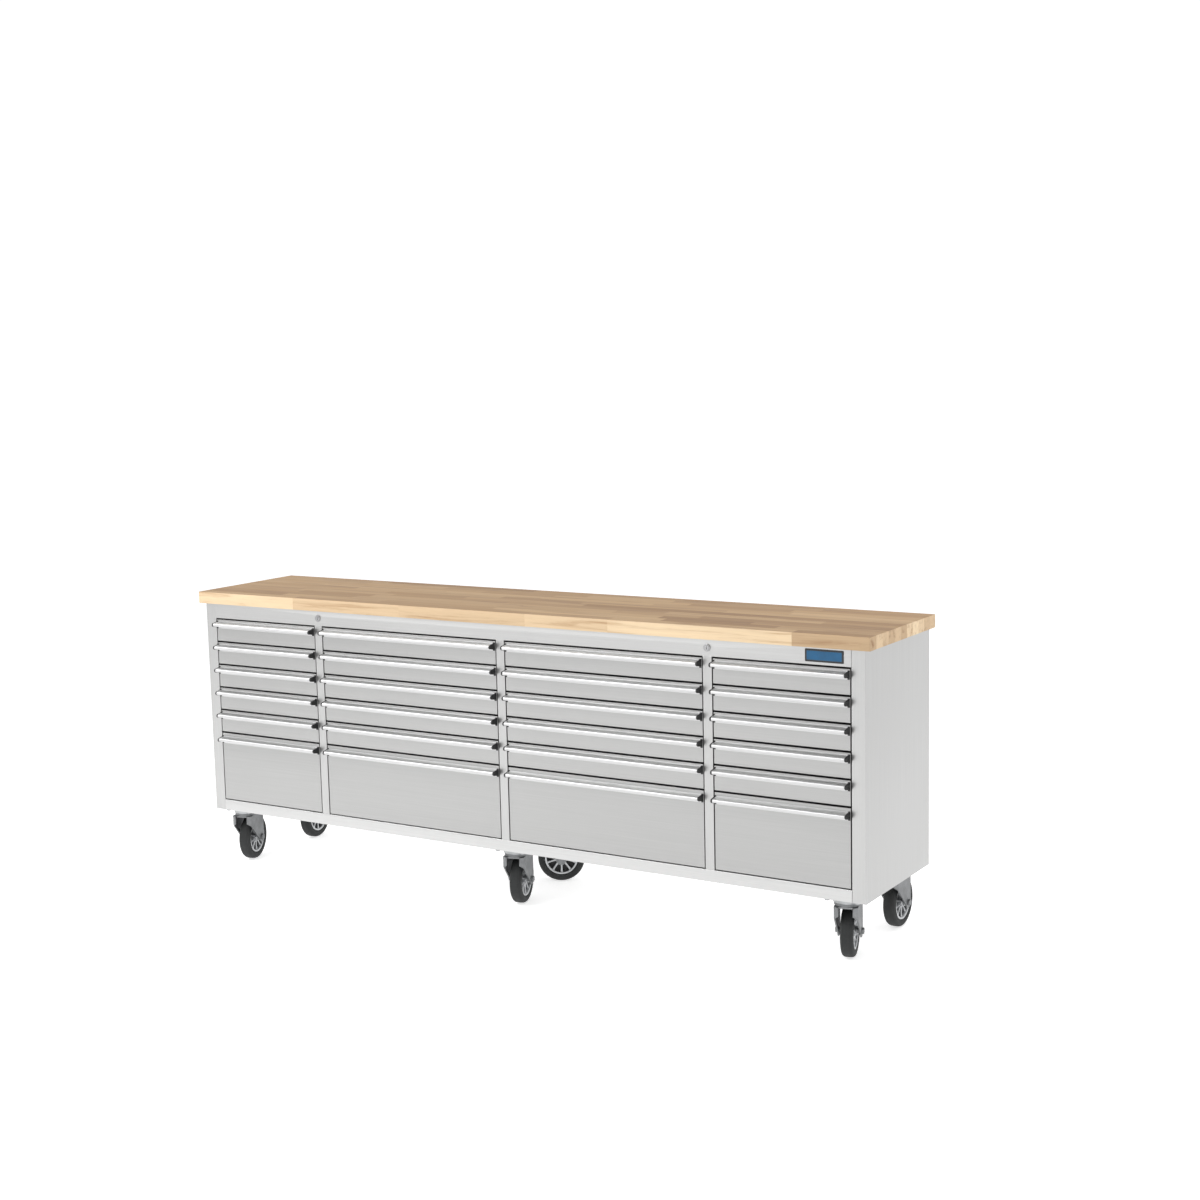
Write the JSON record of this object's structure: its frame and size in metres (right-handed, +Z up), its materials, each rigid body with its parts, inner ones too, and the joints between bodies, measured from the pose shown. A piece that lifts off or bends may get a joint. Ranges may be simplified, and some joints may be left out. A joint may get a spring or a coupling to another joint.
{
  "type": "rolling tool chest workbench",
  "caption": "Long rolling tool chest with a timber worktop, full-width drawer pulls, key locks and swivel casters.",
  "frame": {"origin": "on the floor, midway between the ends of the worktop and midway between the front of the handles and the back of the rear wheels", "axes": "+X along the bench to the right as seen from the drawers, +Y from the drawers to the back, +Z up"},
  "size_m": [2.438, 0.5219, 0.935],
  "materials": {
    "body_steel": "satin, fine grain",
    "drawer_steel": "satin, grain along the bench",
    "handle_aluminium": "clear anodised",
    "cap_plastic": "moulded, matt",
    "liner_foam": "ribbed liner",
    "zinc_steel": "bright zinc plated",
    "wheel_rim": "cast, painted silver",
    "tyre_rubber": "matt rubber",
    "lock_chrome": "polished",
    "badge_plate": "plain enamelled plate",
    "butcher_block": "oiled staves"
  },
  "bodies": {
    "cabinet": {"left_side": "body_steel", "right_side": "body_steel", "back_panel": "body_steel", "top_rail": "body_steel", "bottom_rail": "body_steel", "base_pan": "body_steel", "inner_frame": "zinc_steel", "divider_1": "body_steel", "divider_2": "body_steel", "divider_3": "body_steel", "slide_rails": "zinc_steel", "top_frame": "zinc_steel", "worktop": "butcher_block", "fasteners": "zinc_steel", "lock_housings": "lock_chrome", "badge": "badge_plate", "caster_plates": "zinc_steel"},
    "fork_fl": {"fork_fl": "zinc_steel"},
    "wheel_fl": {"wheel_fl": "tyre_rubber"},
    "fork_fm": {"fork_fm": "zinc_steel"},
    "wheel_fm": {"wheel_fm": "tyre_rubber"},
    "fork_fr": {"fork_fr": "zinc_steel"},
    "wheel_fr": {"wheel_fr": "tyre_rubber"},
    "fork_rl": {"fork_rl": "zinc_steel"},
    "wheel_rl": {"wheel_rl": "tyre_rubber"},
    "fork_rm": {"fork_rm": "zinc_steel"},
    "wheel_rm": {"wheel_rm": "tyre_rubber"},
    "fork_rr": {"fork_rr": "zinc_steel"},
    "wheel_rr": {"wheel_rr": "tyre_rubber"},
    "lock_core_left": {"lock_core_left": "lock_chrome"},
    "lock_core_right": {"lock_core_right": "lock_chrome"},
    "pedal_fl": {"pedal_fl": "zinc_steel"},
    "pedal_fm": {"pedal_fm": "zinc_steel"},
    "pedal_fr": {"pedal_fr": "zinc_steel"},
    "drawer_c1r6": {"drawer_c1r6": "drawer_steel"},
    "drawer_c1r5": {"drawer_c1r5": "drawer_steel"},
    "drawer_c1r4": {"drawer_c1r4": "drawer_steel"},
    "drawer_c1r3": {"drawer_c1r3": "drawer_steel"},
    "drawer_c1r2": {"drawer_c1r2": "drawer_steel"},
    "drawer_c1r1": {"drawer_c1r1": "drawer_steel"},
    "drawer_c2r6": {"drawer_c2r6": "drawer_steel"},
    "drawer_c2r5": {"drawer_c2r5": "drawer_steel"},
    "drawer_c2r4": {"drawer_c2r4": "drawer_steel"},
    "drawer_c2r3": {"drawer_c2r3": "drawer_steel"},
    "drawer_c2r2": {"drawer_c2r2": "drawer_steel"},
    "drawer_c2r1": {"drawer_c2r1": "drawer_steel"},
    "drawer_c3r6": {"drawer_c3r6": "drawer_steel"},
    "drawer_c3r5": {"drawer_c3r5": "drawer_steel"},
    "drawer_c3r4": {"drawer_c3r4": "drawer_steel"},
    "drawer_c3r3": {"drawer_c3r3": "drawer_steel"},
    "drawer_c3r2": {"drawer_c3r2": "drawer_steel"},
    "drawer_c3r1": {"drawer_c3r1": "drawer_steel"},
    "drawer_c4r6": {"drawer_c4r6": "drawer_steel"},
    "drawer_c4r5": {"drawer_c4r5": "drawer_steel"},
    "drawer_c4r4": {"drawer_c4r4": "drawer_steel"},
    "drawer_c4r3": {"drawer_c4r3": "drawer_steel"},
    "drawer_c4r2": {"drawer_c4r2": "drawer_steel"},
    "drawer_c4r1": {"drawer_c4r1": "drawer_steel"}
  },
  "joints": [
    {"name": "swivel_fl", "type": "hinge", "parent": "cabinet", "child": "fork_fl", "pos_m": [-1.118, -0.1733, 0.17], "axis": [0, 0, 1], "continuous": true},
    {"name": "roll_fl", "type": "hinge", "parent": "fork_fl", "child": "wheel_fl", "pos_m": [-1.12879, -0.13686, 0.076], "axis": [0.9588, 0.284, 0], "continuous": true},
    {"name": "swivel_fm", "type": "hinge", "parent": "cabinet", "child": "fork_fm", "pos_m": [0, -0.1733, 0.17], "axis": [0, 0, 1], "continuous": true},
    {"name": "roll_fm", "type": "hinge", "parent": "fork_fm", "child": "wheel_fm", "pos_m": [-0.01079, -0.13686, 0.076], "axis": [0.9588, 0.284, 0], "continuous": true},
    {"name": "swivel_fr", "type": "hinge", "parent": "cabinet", "child": "fork_fr", "pos_m": [1.118, -0.1733, 0.17], "axis": [0, 0, 1], "continuous": true},
    {"name": "roll_fr", "type": "hinge", "parent": "fork_fr", "child": "wheel_fr", "pos_m": [1.10784, -0.13668, 0.076], "axis": [0.9636, 0.2672, 0], "continuous": true},
    {"name": "swivel_rl", "type": "hinge", "parent": "cabinet", "child": "fork_rl", "pos_m": [-1.118, 0.1467, 0.17], "axis": [0, 0, 1], "continuous": true},
    {"name": "roll_rl", "type": "hinge", "parent": "fork_rl", "child": "wheel_rl", "pos_m": [-1.12329, 0.18433, 0.076], "axis": [0.9903, 0.1392, 0], "continuous": true},
    {"name": "swivel_rm", "type": "hinge", "parent": "cabinet", "child": "fork_rm", "pos_m": [0, 0.1467, 0.17], "axis": [0, 0, 1], "continuous": true},
    {"name": "roll_rm", "type": "hinge", "parent": "fork_rm", "child": "wheel_rm", "pos_m": [-0.0324, 0.12685, 0.076], "axis": [-0.5225, 0.8526, 0], "continuous": true},
    {"name": "swivel_rr", "type": "hinge", "parent": "cabinet", "child": "fork_rr", "pos_m": [1.118, 0.1467, 0.17], "axis": [0, 0, 1], "continuous": true},
    {"name": "roll_rr", "type": "hinge", "parent": "fork_rr", "child": "wheel_rr", "pos_m": [1.118, 0.1847, 0.076], "axis": [1, 0, 0], "continuous": true},
    {"name": "key_left", "type": "hinge", "parent": "cabinet", "child": "lock_core_left", "pos_m": [-0.714, -0.2333, 0.8715], "axis": [0, -1, 0], "range_deg": [0, 90]},
    {"name": "key_right", "type": "hinge", "parent": "cabinet", "child": "lock_core_right", "pos_m": [0.714, -0.2333, 0.8715], "axis": [0, -1, 0], "range_deg": [0, 90]},
    {"name": "brake_fl", "type": "hinge", "parent": "fork_fl", "child": "pedal_fl", "pos_m": [-1.13163, -0.12728, 0.158], "axis": [-0.9588, -0.284, 0], "range_deg": [0, 10]},
    {"name": "brake_fm", "type": "hinge", "parent": "fork_fm", "child": "pedal_fm", "pos_m": [-0.01363, -0.12728, 0.158], "axis": [-0.9588, -0.284, 0], "range_deg": [0, 10]},
    {"name": "brake_fr", "type": "hinge", "parent": "fork_fr", "child": "pedal_fr", "pos_m": [1.10517, -0.12705, 0.158], "axis": [-0.9636, -0.2672, 0], "range_deg": [0, 10]},
    {"name": "slide_c1r6", "type": "slide", "parent": "cabinet", "child": "drawer_c1r6", "axis": [0, -1, 0], "range_m": [0, 0.3]},
    {"name": "slide_c1r5", "type": "slide", "parent": "cabinet", "child": "drawer_c1r5", "axis": [0, -1, 0], "range_m": [0, 0.3]},
    {"name": "slide_c1r4", "type": "slide", "parent": "cabinet", "child": "drawer_c1r4", "axis": [0, -1, 0], "range_m": [0, 0.3]},
    {"name": "slide_c1r3", "type": "slide", "parent": "cabinet", "child": "drawer_c1r3", "axis": [0, -1, 0], "range_m": [0, 0.3]},
    {"name": "slide_c1r2", "type": "slide", "parent": "cabinet", "child": "drawer_c1r2", "axis": [0, -1, 0], "range_m": [0, 0.3]},
    {"name": "slide_c1r1", "type": "slide", "parent": "cabinet", "child": "drawer_c1r1", "axis": [0, -1, 0], "range_m": [0, 0.3]},
    {"name": "slide_c2r6", "type": "slide", "parent": "cabinet", "child": "drawer_c2r6", "axis": [0, -1, 0], "range_m": [0, 0.3]},
    {"name": "slide_c2r5", "type": "slide", "parent": "cabinet", "child": "drawer_c2r5", "axis": [0, -1, 0], "range_m": [0, 0.3]},
    {"name": "slide_c2r4", "type": "slide", "parent": "cabinet", "child": "drawer_c2r4", "axis": [0, -1, 0], "range_m": [0, 0.3]},
    {"name": "slide_c2r3", "type": "slide", "parent": "cabinet", "child": "drawer_c2r3", "axis": [0, -1, 0], "range_m": [0, 0.3]},
    {"name": "slide_c2r2", "type": "slide", "parent": "cabinet", "child": "drawer_c2r2", "axis": [0, -1, 0], "range_m": [0, 0.3]},
    {"name": "slide_c2r1", "type": "slide", "parent": "cabinet", "child": "drawer_c2r1", "axis": [0, -1, 0], "range_m": [0, 0.3]},
    {"name": "slide_c3r6", "type": "slide", "parent": "cabinet", "child": "drawer_c3r6", "axis": [0, -1, 0], "range_m": [0, 0.3]},
    {"name": "slide_c3r5", "type": "slide", "parent": "cabinet", "child": "drawer_c3r5", "axis": [0, -1, 0], "range_m": [0, 0.3]},
    {"name": "slide_c3r4", "type": "slide", "parent": "cabinet", "child": "drawer_c3r4", "axis": [0, -1, 0], "range_m": [0, 0.3]},
    {"name": "slide_c3r3", "type": "slide", "parent": "cabinet", "child": "drawer_c3r3", "axis": [0, -1, 0], "range_m": [0, 0.3]},
    {"name": "slide_c3r2", "type": "slide", "parent": "cabinet", "child": "drawer_c3r2", "axis": [0, -1, 0], "range_m": [0, 0.3]},
    {"name": "slide_c3r1", "type": "slide", "parent": "cabinet", "child": "drawer_c3r1", "axis": [0, -1, 0], "range_m": [0, 0.3]},
    {"name": "slide_c4r6", "type": "slide", "parent": "cabinet", "child": "drawer_c4r6", "axis": [0, -1, 0], "range_m": [0, 0.3]},
    {"name": "slide_c4r5", "type": "slide", "parent": "cabinet", "child": "drawer_c4r5", "axis": [0, -1, 0], "range_m": [0, 0.3]},
    {"name": "slide_c4r4", "type": "slide", "parent": "cabinet", "child": "drawer_c4r4", "axis": [0, -1, 0], "range_m": [0, 0.3]},
    {"name": "slide_c4r3", "type": "slide", "parent": "cabinet", "child": "drawer_c4r3", "axis": [0, -1, 0], "range_m": [0, 0.3]},
    {"name": "slide_c4r2", "type": "slide", "parent": "cabinet", "child": "drawer_c4r2", "axis": [0, -1, 0], "range_m": [0, 0.3]},
    {"name": "slide_c4r1", "type": "slide", "parent": "cabinet", "child": "drawer_c4r1", "axis": [0, -1, 0], "range_m": [0, 0.3]}
  ]
}
